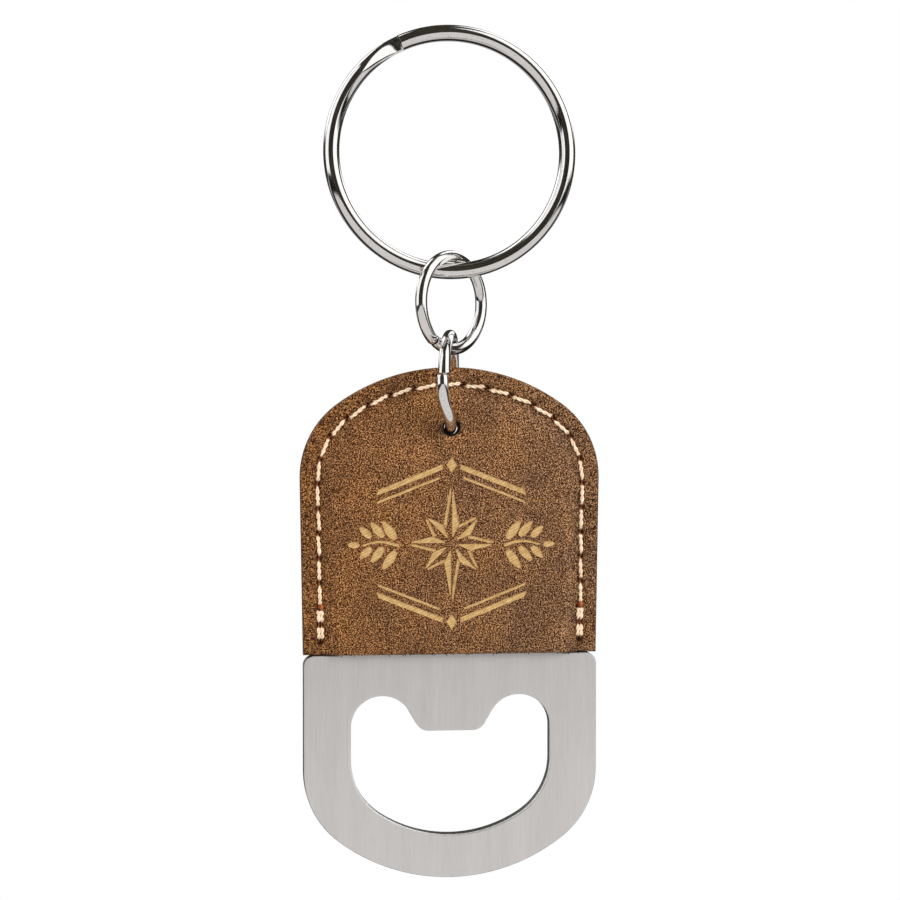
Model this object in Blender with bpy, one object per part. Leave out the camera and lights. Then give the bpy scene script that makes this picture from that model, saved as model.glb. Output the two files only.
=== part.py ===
"""Keychain bottle opener, hanging from its split ring.

A flat steel opener plate has a narrow tang that is wrapped by two leatherette covers, sewn together round
the tang with one needle thread and one bobbin thread. A punched hole near the top of the sleeve carries a
jump ring, which hangs from a second jump ring, which hangs from a two-turn split ring.

The opener hangs in the XZ plane and faces -Y. The origin is the inside top of the split ring, where the
ring rests on the hook or finger that holds it. All lengths below are in millimetres, angles in degrees.
"""

import math

import bmesh
import bpy
from mathutils import Matrix, Vector

MM = 0.001

# Split ring: two turns of half-round wire, flat sides together, with a jog between the turns.
RING_OUTER_RADIUS = 15.0
RING_WIRE_WIDTH = 1.9
RING_WIRE_HEIGHT = 1.3
RING_TURN_GAP = 0.06
RING_FRONT_TIP_ANGLE = 115.0
RING_REAR_TIP_ANGLE = 144.0
RING_TIP_CLEARANCE = 1.2
RING_ROUNDNESS = 2.3
RING_STEP_ANGLE = 7.5
RING_SIDE_POINTS = 4

# Jump rings: round wire, closed with a butt joint. The turn is each ring's angle about Z from the XZ plane.
LINK_RADIUS = 5.5
LINK_WIRE_RADIUS = 0.7
LINK_BUTT_GAP = 0.12
LINK_STATIONS = 40
LINK_WIRE_SIDES = 8
MIDDLE_LINK_TURN = 43.0
MIDDLE_LINK_JOINT_ANGLE = 235.0
LOWER_LINK_TURN = 77.0
LOWER_LINK_JOINT_ANGLE = 172.0
RING_TO_LINK_GAP = 0.12
LINK_TO_LINK_SPACING = 1.62

# Hinges. A ring's swing centre lies a little below the wire it hangs on, so that it clears that wire.
MIDDLE_LINK_SWING_DROP = 0.5
LOWER_LINK_SWING_DROP = 0.2
LOWER_LINK_SWING_TURN = 22.0

# Opener plate. Heights are measured up from the lowest point of the plate.
PLATE_THICKNESS = 1.8
PLATE_HALF_WIDTH = 17.45
PLATE_EDGE_CHAMFER = 0.25
FOOT_RISE = 12.8
FOOT_CORNER_RADIUS = 10.4
SHOULDER_HEIGHT = 26.55
SHOULDER_RADIUS = 1.3
SHOULDER_INNER_RADIUS = 0.25
HOLE_HEIGHT = 53.4
HOLE_ABOVE_WIRE = 0.15
PLATE_HOLE_RADIUS = 1.15

# Cap mouth: a wide bowl with two lobes, and the lip that lifts the cap between them.
MOUTH_BOTTOM_HEIGHT = 5.1
MOUTH_HALF_WIDTH = 11.85
MOUTH_BOWL_RISE = 9.0
MOUTH_BOWL_CORNER_RADIUS = 7.8
LOBE_RADIUS = 3.7
LOBE_TOP_HEIGHT = 21.65
LOBE_CENTRE_X = 8.15
LIP_HEIGHT = 17.45
LIP_SIDE_ANGLE = 59.5
LIP_CORNER_RADIUS = 1.6

# Covers. An inset is a distance in from the covers' outline.
COVER_HALF_WIDTH = 17.8
COVER_RISE = 13.0
COVER_CORNER_RADIUS = 10.7
COVER_TOP_HEIGHT = 60.5
COVER_LOWER_HEIGHT = 26.6
COVER_THICKNESS = 0.85
COVER_MIDDLE_GAP = 0.03
COVER_TO_TANG_GAP = 0.05
COVER_HOLE_RADIUS = 1.25
RAMP_START_INSET = 2.75
RAMP_END_INSET = 4.0
TANG_INSET = 4.3

# Sewing: one lockstitch seam, with a back-tack of short stitches at each end.
SEAM_INSET = 2.05
SEAM_END_HEIGHT = 28.2
TACK_STITCHES = 2
TACK_PITCH = 2.0
PLAIN_STITCHES = 25
NEEDLE_HOLE_RADIUS = 0.46
TACK_HOLE_RADIUS = 0.6
THREAD_RADIUS = 0.2
THREAD_CLEARANCE = 0.03
THREAD_DIP = 0.42
THREAD_HOLE_HALF_SPAN = 0.3
TACK_LANE = 0.23
THREAD_SIDES = 6

CORNER_STEPS = 5
CROWN_STEPS = 10
FILLET_STEPS = 3
LOBE_STEPS = 9
HOLE_SIDES = 12
NEEDLE_HOLE_SIDES = 8

# Places on the hanging chain, as heights above the origin.
RING_INNER_RADIUS = RING_OUTER_RADIUS - RING_WIRE_WIDTH
RING_CENTRE_Z = -RING_INNER_RADIUS
RING_SECTION_Z = RING_CENTRE_Z - RING_INNER_RADIUS - RING_WIRE_WIDTH / 2
MIDDLE_LINK_Z = RING_CENTRE_Z - RING_INNER_RADIUS + RING_TO_LINK_GAP + LINK_WIRE_RADIUS - LINK_RADIUS
LOWER_LINK_Z = MIDDLE_LINK_Z - 2 * LINK_RADIUS + LINK_TO_LINK_SPACING
HOLE_Z = LOWER_LINK_Z - LINK_RADIUS + HOLE_ABOVE_WIRE
PLATE_BOTTOM_Z = HOLE_Z - HOLE_HEIGHT
COVER_SPRING_HEIGHT = COVER_TOP_HEIGHT - COVER_RISE
RIM_FACE_Y = COVER_MIDDLE_GAP + COVER_THICKNESS

# Hinge centres.
MIDDLE_LINK_PIVOT = Vector((0.0, 0.0, RING_SECTION_Z - MIDDLE_LINK_SWING_DROP))
LOWER_LINK_PIVOT = Vector((0.0, 0.0, MIDDLE_LINK_Z - LINK_RADIUS - LOWER_LINK_SWING_DROP))
OPENER_PIVOT = Vector((0.0, 0.0, HOLE_Z))


def clear_scene():
    for obj in list(bpy.data.objects):
        bpy.data.objects.remove(obj, do_unlink=True)


def material(name, colour, roughness, metallic):
    surface = bpy.data.materials.new(name)
    surface.use_nodes = True
    shader = surface.node_tree.nodes["Principled BSDF"]
    shader.inputs["Base Color"].default_value = (*colour, 1.0)
    shader.inputs["Roughness"].default_value = roughness
    shader.inputs["Metallic"].default_value = metallic
    return surface


def pivot(name, centre, turn=0.0, parent=None):
    """An empty on a joint's centre, turned about Z, holding the pieces that move with that joint.

    The two links swing about their empties' X axes, and the opener tilts about its empty's Y axis.
    """
    empty = bpy.data.objects.new(name, None)
    empty.empty_display_size = 3 * MM
    bpy.context.collection.objects.link(empty)
    empty.matrix_basis = Matrix.Translation(centre * MM) @ Matrix.Rotation(math.radians(turn), 4, "Z")
    if parent is not None:
        empty.matrix_basis = world_matrix(parent).inverted() @ empty.matrix_basis
        empty.parent = parent
    return empty


def world_matrix(empty):
    """An empty's place in the world, through the empties that carry it."""
    if empty.parent is None:
        return empty.matrix_basis.copy()
    return world_matrix(empty.parent) @ empty.matrix_basis


def add_piece(name, bm, surface, holder=None, smooth_angle=None):
    """Turn a mesh built in world millimetres into an object, on its joint's empty if it has one."""
    bmesh.ops.recalc_face_normals(bm, faces=bm.faces)
    mesh = bpy.data.meshes.new(name)
    bm.to_mesh(mesh)
    bm.free()
    mesh.transform(Matrix.Scale(MM, 4))
    if smooth_angle is not None:
        mesh.shade_smooth()
        mesh.set_sharp_from_angle(angle=math.radians(smooth_angle))
    mesh.materials.append(surface)
    piece = bpy.data.objects.new(name, mesh)
    bpy.context.collection.objects.link(piece)
    if holder is not None:
        mesh.transform(world_matrix(holder).inverted())
        piece.parent = holder
    return piece


def arc(centre_x, centre_z, radius, start, end, steps):
    """Points on an arc, from the start angle to the end angle in radians, both included."""
    angles = [start + (end - start) * step / steps for step in range(steps + 1)]
    return [(centre_x + radius * math.cos(a), centre_z + radius * math.sin(a)) for a in angles]


def arch(half_width, rise, corner_radius, inset=0.0):
    """A three-centred arch from its right foot over the crown to its left foot, with its feet at height 0.

    The crown's radius follows from the three arcs being tangent. An inset moves the whole arch inwards.
    """
    corner_x = half_width - corner_radius
    crown_radius = (corner_x**2 + rise**2 - corner_radius**2) / (2 * (rise - corner_radius))
    crown_z = rise - crown_radius
    meet = math.atan2(-crown_z, corner_x)
    right = arc(corner_x, 0.0, corner_radius - inset, 0.0, meet, CORNER_STEPS)
    crown = arc(0.0, crown_z, crown_radius - inset, meet, math.pi - meet, CROWN_STEPS)
    left = arc(-corner_x, 0.0, corner_radius - inset, math.pi - meet, math.pi, CORNER_STEPS)
    return right + crown[1:-1] + left


def fillet(before, corner, after, radius, steps=FILLET_STEPS):
    """The points of an arc that rounds one corner of an outline."""
    corner = Vector(corner)
    towards = [(Vector(before) - corner).normalized(), (Vector(after) - corner).normalized()]
    half_angle = towards[0].angle(towards[1]) / 2
    centre = corner + (towards[0] + towards[1]).normalized() * radius / math.sin(half_angle)
    reach = radius / math.tan(half_angle)
    first, last = [corner + way * reach - centre for way in towards]
    turn = first.angle_signed(last)
    return [tuple(centre + Matrix.Rotation(-turn * step / steps, 2) @ first) for step in range(steps + 1)]


def inset_loop(points, distance):
    """A closed outline moved to its left by a distance, corner by corner."""
    moved = []
    for index, point in enumerate(points):
        here = Vector(point)
        back = (here - Vector(points[index - 1])).normalized()
        ahead = (Vector(points[(index + 1) % len(points)]) - here).normalized()
        normals = [Vector((-way.y, way.x)) for way in (back, ahead)]
        middle = (normals[0] + normals[1]).normalized()
        moved.append(tuple(here + middle * distance / middle.dot(normals[0])))
    return moved


def circle(centre_x, centre_z, radius, sides):
    return arc(centre_x, centre_z, radius, 0.0, 2 * math.pi, sides)[:-1]


def add_loop(bm, points, y):
    return [bm.verts.new((x, y, z)) for x, z in points]


def loop_edges(bm, loop):
    pairs = zip(loop, loop[1:] + loop[:1])
    return [bm.edges.get(pair) or bm.edges.new(pair) for pair in pairs]


def fill(bm, loops):
    """Close a flat region between one outer loop and the loops of its holes."""
    edges = [edge for loop in loops for edge in loop_edges(bm, loop)]
    bmesh.ops.triangle_fill(bm, use_beauty=True, use_dissolve=False, edges=edges)


def bridge(bm, first, second):
    """Quads between two closed loops that have the same number of vertices."""
    for index in range(len(first)):
        after = (index + 1) % len(first)
        bm.faces.new((first[index], first[after], second[after], second[index]))


def sweep(bm, stations):
    """A solid through a list of sections, each a closed loop of points."""
    rings = [[bm.verts.new(point) for point in section] for section in stations]
    for first, second in zip(rings, rings[1:]):
        bridge(bm, first, second)
    bm.faces.new(rings[0])
    bm.faces.new(rings[-1])


def ring_section(radial, front_share):
    """One section of the split ring's wire, between a front and a rear half-round."""
    centre_y = (RING_WIRE_HEIGHT + RING_TURN_GAP) / 2 * (1 - 2 * front_share)
    half_width = RING_WIRE_WIDTH / 2
    mid_radius = RING_OUTER_RADIUS - half_width
    sides = []
    for direction, round_share in ((-1, front_share), (1, 1 - front_share)):
        side = []
        for point in range(RING_SIDE_POINTS):
            across = -math.cos(math.pi * (point + 0.5) / RING_SIDE_POINTS)
            domed = (1 - abs(across) ** RING_ROUNDNESS) ** (1 / RING_ROUNDNESS)
            flat_half = RING_WIRE_HEIGHT / 2
            height = round_share * (RING_WIRE_HEIGHT * domed - flat_half) + (1 - round_share) * flat_half
            side.append((across * half_width, centre_y + direction * height))
        sides.append(side)
    profile = sides[0] + sides[1][::-1]
    return [
        (radial.x * (mid_radius + across), y, RING_CENTRE_Z + radial.y * (mid_radius + across))
        for across, y in profile
    ]


def split_ring(surface):
    """Two turns, clockwise from the front tip: the front turn, the jog behind that tip, the rear turn."""
    bm = bmesh.new()
    tip_clearance = math.degrees(RING_TIP_CLEARANCE / RING_OUTER_RADIUS)
    jog = RING_REAR_TIP_ANGLE - RING_FRONT_TIP_ANGLE
    turn = 360.0 - jog
    total = 2 * turn + jog
    steps = round(total / RING_STEP_ANGLE)
    stations = []
    for step in range(steps + 1):
        travelled = total * step / steps
        angle = math.radians(RING_FRONT_TIP_ANGLE - travelled)
        progress = (travelled - turn - tip_clearance) / (jog - 2 * tip_clearance)
        progress = min(max(progress, 0.0), 1.0)
        eased = progress * progress * (3 - 2 * progress)
        stations.append(ring_section(Vector((math.cos(angle), math.sin(angle))), 1 - eased))
    sweep(bm, stations)
    return add_piece("split_ring", bm, surface, smooth_angle=35)


def jump_ring(name, centre_z, turn, joint_angle, surface, holder):
    """A ring of round wire in a vertical plane, open by a hair at its butt joint."""
    bm = bmesh.new()
    across = Vector((math.cos(math.radians(turn)), math.sin(math.radians(turn)), 0.0))
    up = Vector((0.0, 0.0, 1.0))
    normal = across.cross(up)
    gap = math.degrees(LINK_BUTT_GAP / LINK_RADIUS)
    stations = []
    for station in range(LINK_STATIONS + 1):
        angle = math.radians(joint_angle + gap / 2 + (360 - gap) * station / LINK_STATIONS)
        outward = across * math.cos(angle) + up * math.sin(angle)
        centre = Vector((0.0, 0.0, centre_z)) + outward * LINK_RADIUS
        section = []
        for side in range(LINK_WIRE_SIDES):
            around = 2 * math.pi * (side + 0.5) / LINK_WIRE_SIDES
            offset = outward * math.cos(around) + normal * math.sin(around)
            section.append(centre + offset * LINK_WIRE_RADIUS)
        stations.append(section)
    sweep(bm, stations)
    return add_piece(name, bm, surface, holder, smooth_angle=50)


def mouth_outline():
    """The cap mouth, clockwise, from the left foot of its bowl."""
    slope = math.radians(LIP_SIDE_ANGLE)
    lobe_z = LOBE_TOP_HEIGHT - LOBE_RADIUS
    touch_x = LOBE_CENTRE_X - LOBE_RADIUS * math.sin(slope)
    touch_z = lobe_z + LOBE_RADIUS * math.cos(slope)
    corner = (touch_x - (touch_z - LIP_HEIGHT) / math.tan(slope), LIP_HEIGHT)
    right = fillet((0.0, LIP_HEIGHT), corner, (touch_x, touch_z), LIP_CORNER_RADIUS)
    lobe = arc(LOBE_CENTRE_X, lobe_z, LOBE_RADIUS, math.pi / 2 + slope, 0.0, LOBE_STEPS)
    bowl = arch(MOUTH_HALF_WIDTH, MOUTH_BOWL_RISE, MOUTH_BOWL_CORNER_RADIUS)
    foot_z = MOUTH_BOTTOM_HEIGHT + MOUTH_BOWL_RISE
    upper = [(-x, z) for x, z in reversed(right + lobe)] + right + lobe
    return upper + [(x, foot_z - z) for x, z in bowl]


def plate_outline():
    """The plate's outline, anticlockwise, from the right foot of its lower arch."""
    tang = sleeve_path(TANG_INSET)
    tang_x = tang[0][0]
    outer = (PLATE_HALF_WIDTH, SHOULDER_HEIGHT)
    inner = (tang_x, SHOULDER_HEIGHT)
    shoulder = fillet((PLATE_HALF_WIDTH, 0.0), outer, inner, SHOULDER_RADIUS)
    root = fillet(outer, inner, (tang_x, COVER_SPRING_HEIGHT), SHOULDER_INNER_RADIUS)
    right = shoulder + root
    left = [(-x, z) for x, z in reversed(right)]
    foot = [(-x, FOOT_RISE - z) for x, z in arch(PLATE_HALF_WIDTH, FOOT_RISE, FOOT_CORNER_RADIUS)]
    return right + tang[1:-1] + left + foot


def opener_plate(surface, holder):
    """The plate: its outline, mouth and hole carried through its thickness, with chamfered edges."""
    bm = bmesh.new()
    half = PLATE_THICKNESS / 2
    chamfer = PLATE_EDGE_CHAMFER
    layers = [(-half, chamfer), (chamfer - half, 0.0), (half - chamfer, 0.0), (half, chamfer)]
    outlines = [
        plate_outline(),
        mouth_outline(),
        circle(0.0, HOLE_HEIGHT, PLATE_HOLE_RADIUS, HOLE_SIDES)[::-1],
    ]
    loops = []
    for outline in outlines:
        placed = [(x, PLATE_BOTTOM_Z + z) for x, z in outline]
        loops.append([add_loop(bm, inset_loop(placed, inset), y) for y, inset in layers])
    for loop in loops:
        for first, second in zip(loop, loop[1:]):
            bridge(bm, first, second)
    fill(bm, [loop[0] for loop in loops])
    fill(bm, [loop[-1] for loop in loops])
    return add_piece("opener_plate", bm, surface, holder, smooth_angle=30)


def sleeve_path(inset):
    """The covers' side, top and other side, moved inwards by an inset, from right to left."""
    lower_x = PLATE_HALF_WIDTH - inset
    top = [
        (x, COVER_SPRING_HEIGHT + z)
        for x, z in arch(COVER_HALF_WIDTH, COVER_RISE, COVER_CORNER_RADIUS, inset)
    ]
    return [(lower_x, COVER_LOWER_HEIGHT)] + top + [(-lower_x, COVER_LOWER_HEIGHT)]


def seam_path(samples_per_segment=24):
    """Closely spaced points along the seam, from its right end over the top to its left end."""
    fine = []
    rough = sleeve_path(SEAM_INSET)
    for first, second in zip(rough, rough[1:]):
        for sample in range(samples_per_segment):
            fine.append(Vector(first).lerp(Vector(second), sample / samples_per_segment))
    fine.append(Vector(rough[-1]))
    return [point for point in fine if point.y >= SEAM_END_HEIGHT]


def needle_points():
    """The needle holes' centres: short stitches at both ends and even ones between, right to left."""
    path = seam_path()
    reached = [0.0]
    for first, second in zip(path, path[1:]):
        reached.append(reached[-1] + (second - first).length)
    tack_length = TACK_STITCHES * TACK_PITCH
    pitch = (reached[-1] - 2 * tack_length) / PLAIN_STITCHES
    places = [TACK_PITCH * step for step in range(TACK_STITCHES)]
    places += [tack_length + pitch * step for step in range(PLAIN_STITCHES + 1)]
    places += [reached[-1] - TACK_PITCH * step for step in reversed(range(TACK_STITCHES))]
    centres = []
    for place in places:
        index = next((i for i, run in enumerate(reached) if run >= place), len(reached) - 1)
        centres.append(path[index])
    return centres


def cover(name, side, surface, holder):
    """One cover: a flat rim, a slope up to the tang and a flat panel, with its punched holes.

    The side is -1 for the front cover and 1 for the rear one.
    """
    bm = bmesh.new()
    rim_inner = COVER_MIDDLE_GAP
    panel_inner = PLATE_THICKNESS / 2 + COVER_TO_TANG_GAP
    needles = needle_points()
    last = len(needles) - 1
    needle_loops = []
    for index, centre in enumerate(needles):
        in_tack = min(index, last - index) <= TACK_STITCHES
        radius = TACK_HOLE_RADIUS if in_tack else NEEDLE_HOLE_RADIUS
        needle_loops.append(circle(centre.x, centre.y, radius, NEEDLE_HOLE_SIDES))
    link_hole = circle(0.0, HOLE_HEIGHT, COVER_HOLE_RADIUS, HOLE_SIDES)
    faces = []
    for lift in (0.0, COVER_THICKNESS):
        paths = [
            [bm.verts.new((x, side * (inner + lift), PLATE_BOTTOM_Z + z)) for x, z in sleeve_path(inset)]
            for inset, inner in (
                (0.0, rim_inner),
                (RAMP_START_INSET, rim_inner),
                (RAMP_END_INSET, panel_inner),
            )
        ]
        outer, crease, brow = paths
        rim_holes = [
            add_loop(bm, [(x, PLATE_BOTTOM_Z + z) for x, z in loop], side * (rim_inner + lift))
            for loop in needle_loops
        ]
        panel_hole = add_loop(
            bm, [(x, PLATE_BOTTOM_Z + z) for x, z in link_hole], side * (panel_inner + lift)
        )
        fill(bm, [outer + crease[::-1]] + rim_holes)
        for index in range(len(crease) - 1):
            bm.faces.new((crease[index], crease[index + 1], brow[index + 1], brow[index]))
        fill(bm, [brow, panel_hole])
        faces.append((outer, crease, brow, rim_holes, panel_hole))
    inside, outside = faces
    for first, second in zip(inside[3], outside[3]):
        bridge(bm, first, second)
    bridge(bm, inside[4], outside[4])
    edge_loops = []
    for outer, crease, brow, _, _ in faces:
        edge_loops.append(outer + [crease[-1], brow[-1], brow[0], crease[0]])
    bridge(bm, edge_loops[0], edge_loops[1])
    return add_piece(name, bm, surface, holder, smooth_angle=30)


def thread_lanes(step, steps):
    """How far to one side the thread arrives at a hole, dips and leaves: apart where two runs share holes."""
    from_end = min(step, steps - 1 - step)
    inner, outer = (TACK_LANE, -TACK_LANE)
    if from_end < TACK_STITCHES:
        lanes = (outer, outer, outer)
    elif from_end == TACK_STITCHES:
        lanes = (outer, 0.0, inner)
    elif from_end < 2 * TACK_STITCHES:
        lanes = (inner, inner, inner)
    elif from_end == 2 * TACK_STITCHES:
        lanes = (inner, inner, 0.0)
    else:
        lanes = (0.0, 0.0, 0.0)
    return lanes if step == from_end else lanes[::-1]


def stitched_route(side):
    """One thread's route, from hole to hole over a cover, dipping into each and doubled at the tacks.

    Each point comes with the sideways direction of the seam there.
    """
    needles = needle_points()
    last = len(needles) - 1
    first_tack = list(range(TACK_STITCHES, 0, -1))
    last_tack = list(range(last - 1, last - TACK_STITCHES - 1, -1))
    order = first_tack + list(range(last + 1)) + last_tack
    surface_y = RIM_FACE_Y + THREAD_CLEARANCE + THREAD_RADIUS
    dip_y = RIM_FACE_Y - THREAD_DIP
    route = []
    for step, index in enumerate(order):
        here = needles[index]
        along = needles[min(index + 1, last)] - needles[max(index - 1, 0)]
        sideways = Vector((-along.y, along.x)).normalized()
        arriving, dipping, leaving = [sideways * lane for lane in thread_lanes(step, len(order))]
        spots = []
        if step > 0:
            spots.append((here + arriving + toward(here, needles[order[step - 1]]), surface_y))
        spots.append((here + dipping, dip_y))
        if step + 1 < len(order):
            spots.append((here + leaving + toward(here, needles[order[step + 1]]), surface_y))
        for spot, y in spots:
            place = Vector((spot.x, side * y, PLATE_BOTTOM_Z + spot.y))
            route.append((place, Vector((sideways.x, 0.0, sideways.y))))
    return route


def toward(here, other):
    """The short step from a needle hole's centre to where the thread leaves the hole."""
    return (other - here).normalized() * THREAD_HOLE_HALF_SPAN


def thread(name, side, surface, holder):
    """A thread as a thin tube along its route."""
    bm = bmesh.new()
    route = stitched_route(side)
    stations = []
    for index, (centre, sideways) in enumerate(route):
        before = route[max(index - 1, 0)][0]
        after = route[min(index + 1, len(route) - 1)][0]
        ways = [way.normalized() for way in (centre - before, after - centre) if way.length > 0]
        tangent = (ways[0] + ways[-1]).normalized()
        raised = sideways.cross(tangent).normalized()
        level = tangent.cross(raised)
        section = []
        for corner in range(THREAD_SIDES):
            around = 2 * math.pi * (corner + 0.5) / THREAD_SIDES
            offset = level * math.cos(around) + raised * math.sin(around)
            section.append(centre + offset * THREAD_RADIUS)
        stations.append(section)
    sweep(bm, stations)
    return add_piece(name, bm, surface, holder, smooth_angle=80)


def main():
    clear_scene()
    middle_pivot = pivot("middle_link_pivot", MIDDLE_LINK_PIVOT)
    lower_pivot = pivot("lower_link_pivot", LOWER_LINK_PIVOT, LOWER_LINK_SWING_TURN, middle_pivot)
    opener_pivot = pivot("opener_pivot", OPENER_PIVOT, 0.0, lower_pivot)

    split_ring(material("split_ring_nickel", (0.74, 0.73, 0.72), 0.12, 1.0))
    jump_ring(
        "middle_link",
        MIDDLE_LINK_Z,
        MIDDLE_LINK_TURN,
        MIDDLE_LINK_JOINT_ANGLE,
        material("middle_link_nickel", (0.75, 0.74, 0.73), 0.10, 1.0),
        middle_pivot,
    )
    jump_ring(
        "lower_link",
        LOWER_LINK_Z,
        LOWER_LINK_TURN,
        LOWER_LINK_JOINT_ANGLE,
        material("lower_link_nickel", (0.75, 0.74, 0.73), 0.10, 1.0),
        lower_pivot,
    )
    opener_plate(material("brushed_stainless", (0.52, 0.50, 0.48), 0.38, 1.0), opener_pivot)
    leather_front = material("front_leatherette", (0.19, 0.083, 0.036), 0.55, 0.0)
    leather_rear = material("rear_leatherette", (0.18, 0.078, 0.034), 0.58, 0.0)
    cover("front_leather_cover", -1, leather_front, opener_pivot)
    cover("rear_leather_cover", 1, leather_rear, opener_pivot)
    thread("needle_thread", -1, material("needle_thread_cream", (0.85, 0.70, 0.52), 0.7, 0.0), opener_pivot)
    thread("bobbin_thread", 1, material("bobbin_thread_cream", (0.83, 0.68, 0.50), 0.7, 0.0), opener_pivot)


main()
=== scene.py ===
"""Looks of the keychain bottle opener: fine meshes, materials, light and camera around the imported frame.

Lengths in the geometry code are millimetres, and a mesh is scaled to metres when it is made.
The opener hangs in the XZ plane and faces -Y.
"""

import math
import random

import bmesh
import bpy
import numpy as np
from mathutils import Matrix, Vector
from mathutils.geometry import delaunay_2d_cdt


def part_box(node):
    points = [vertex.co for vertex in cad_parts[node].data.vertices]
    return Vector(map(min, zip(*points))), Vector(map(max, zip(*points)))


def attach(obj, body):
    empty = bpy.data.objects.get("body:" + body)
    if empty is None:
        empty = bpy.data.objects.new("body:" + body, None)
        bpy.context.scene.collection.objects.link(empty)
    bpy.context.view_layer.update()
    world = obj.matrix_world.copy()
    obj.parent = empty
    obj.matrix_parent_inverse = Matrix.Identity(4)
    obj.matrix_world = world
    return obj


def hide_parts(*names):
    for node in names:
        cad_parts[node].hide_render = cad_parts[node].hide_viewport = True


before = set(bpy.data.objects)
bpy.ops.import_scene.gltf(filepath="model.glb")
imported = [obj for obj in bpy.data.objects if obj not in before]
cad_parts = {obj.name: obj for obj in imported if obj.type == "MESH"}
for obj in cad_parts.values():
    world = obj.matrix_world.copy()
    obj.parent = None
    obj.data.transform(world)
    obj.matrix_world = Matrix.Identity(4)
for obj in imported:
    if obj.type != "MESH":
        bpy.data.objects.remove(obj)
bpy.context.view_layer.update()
MM = 0.001
random.seed(7)


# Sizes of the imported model, in millimetres. Heights are measured up from the plate's lowest point.
PLATE_LOW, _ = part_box("opener_plate")
BOTTOM_Z = (Vector(PLATE_LOW) / MM).z
PLATE_THICKNESS = 1.8
PLATE_HALF_WIDTH = 17.45
FOOT_RISE = 12.8
FOOT_CORNER_RADIUS = 10.4
SHOULDER_HEIGHT = 26.55
SHOULDER_RADIUS = 1.3
TANG_ROOT_RADIUS = 0.25
HOLE_HEIGHT = 53.4
PLATE_HOLE_RADIUS = 1.15
COVER_HOLE_RADIUS = 1.06
MOUTH_BOTTOM_HEIGHT = 5.1
MOUTH_HALF_WIDTH = 11.85
MOUTH_BOWL_RISE = 9.0
MOUTH_BOWL_CORNER_RADIUS = 7.8
LOBE_RADIUS = 3.7
LOBE_TOP_HEIGHT = 21.65
LOBE_CENTRE_X = 8.15
LIP_HEIGHT = 17.45
LIP_SIDE_ANGLE = 59.5
LIP_CORNER_RADIUS = 1.6
COVER_HALF_WIDTH = 17.8
COVER_RISE = 13.0
COVER_CORNER_RADIUS = 10.7
COVER_TOP_HEIGHT = 60.5
COVER_LOWER_HEIGHT = 26.6
MIDDLE_GAP = 0.008
COVER_SPRING_HEIGHT = COVER_TOP_HEIGHT - COVER_RISE
WAVES = 14
WAVE_HEIGHT = 0.006
SEAM_DEPTH = 0.05
EDGE_ROUNDING = 0.24
NEEDLE_DEPTH = 0.50
ENGRAVING_DEPTH = 0.075
CUT_EDGE_SLOT = 1
ENGRAVED_SLOT = 2
RIM_FACE_Y = 0.88
PANEL_FACE_Y = 1.8
TANG_INSET = 4.3
SEAM_INSET = 2.05
SEAM_END_HEIGHT = 28.2
TACK_STITCHES = 2
TACK_PITCH = 2.0
PLAIN_STITCHES = 25
# Half the length of the near-black sleeve of painted shade in the punched hole.
HOLE_SHADE_HALF_LENGTH = 1.15
MOTIF_HEIGHT = 39.71

RING_OUTER_RADIUS = 15.0
RING_WIRE_WIDTH = 1.9
RING_WIRE_HEIGHT = 1.3
RING_TURN_GAP = 0.06
RING_CENTRE_Z = RING_WIRE_WIDTH - RING_OUTER_RADIUS
RING_FRONT_TIP_ANGLE = 115.0
RING_REAR_TIP_ANGLE = 144.0
RING_TIP_CLEARANCE = 1.2
WIRE_SMOOTH_ANGLE = 38.0

LINK_RADIUS = 5.5
LINK_WIRE_RADIUS = 0.7
MIDDLE_LINK_Z = -30.88
LOWER_LINK_Z = -40.26
MIDDLE_LINK_TURN = 43.0
MIDDLE_LINK_JOINT_ANGLE = 235.0
LOWER_LINK_TURN = 77.0
LOWER_LINK_JOINT_ANGLE = 172.0
MIDDLE_LINK_SHIFT = 0.20
LOWER_LINK_SHIFT = 0.03
JOINT_GAP = 0.10


# ---- meshes

def add_piece(name, verts, faces, body, replaces=(), smooth_angle=40.0, materials=(), indices=None):
    """A mesh piece from points in millimetres, riding on a CAD body."""
    mesh = bpy.data.meshes.new(name)
    mesh.from_pydata([tuple(v) for v in verts], [], [tuple(f) for f in faces])
    mesh.transform(Matrix.Scale(MM, 4))
    bm = bmesh.new()
    bm.from_mesh(mesh)
    bmesh.ops.recalc_face_normals(bm, faces=bm.faces)
    bm.to_mesh(mesh)
    bm.free()
    for surface in materials:
        mesh.materials.append(surface)
    if indices is not None:
        mesh.polygons.foreach_set("material_index", indices)
    mesh.shade_smooth()
    mesh.set_sharp_from_angle(angle=math.radians(smooth_angle))
    piece = bpy.data.objects.new(name, mesh)
    bpy.context.collection.objects.link(piece)
    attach(piece, body)
    if replaces:
        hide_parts(*replaces)
    return piece


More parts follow.
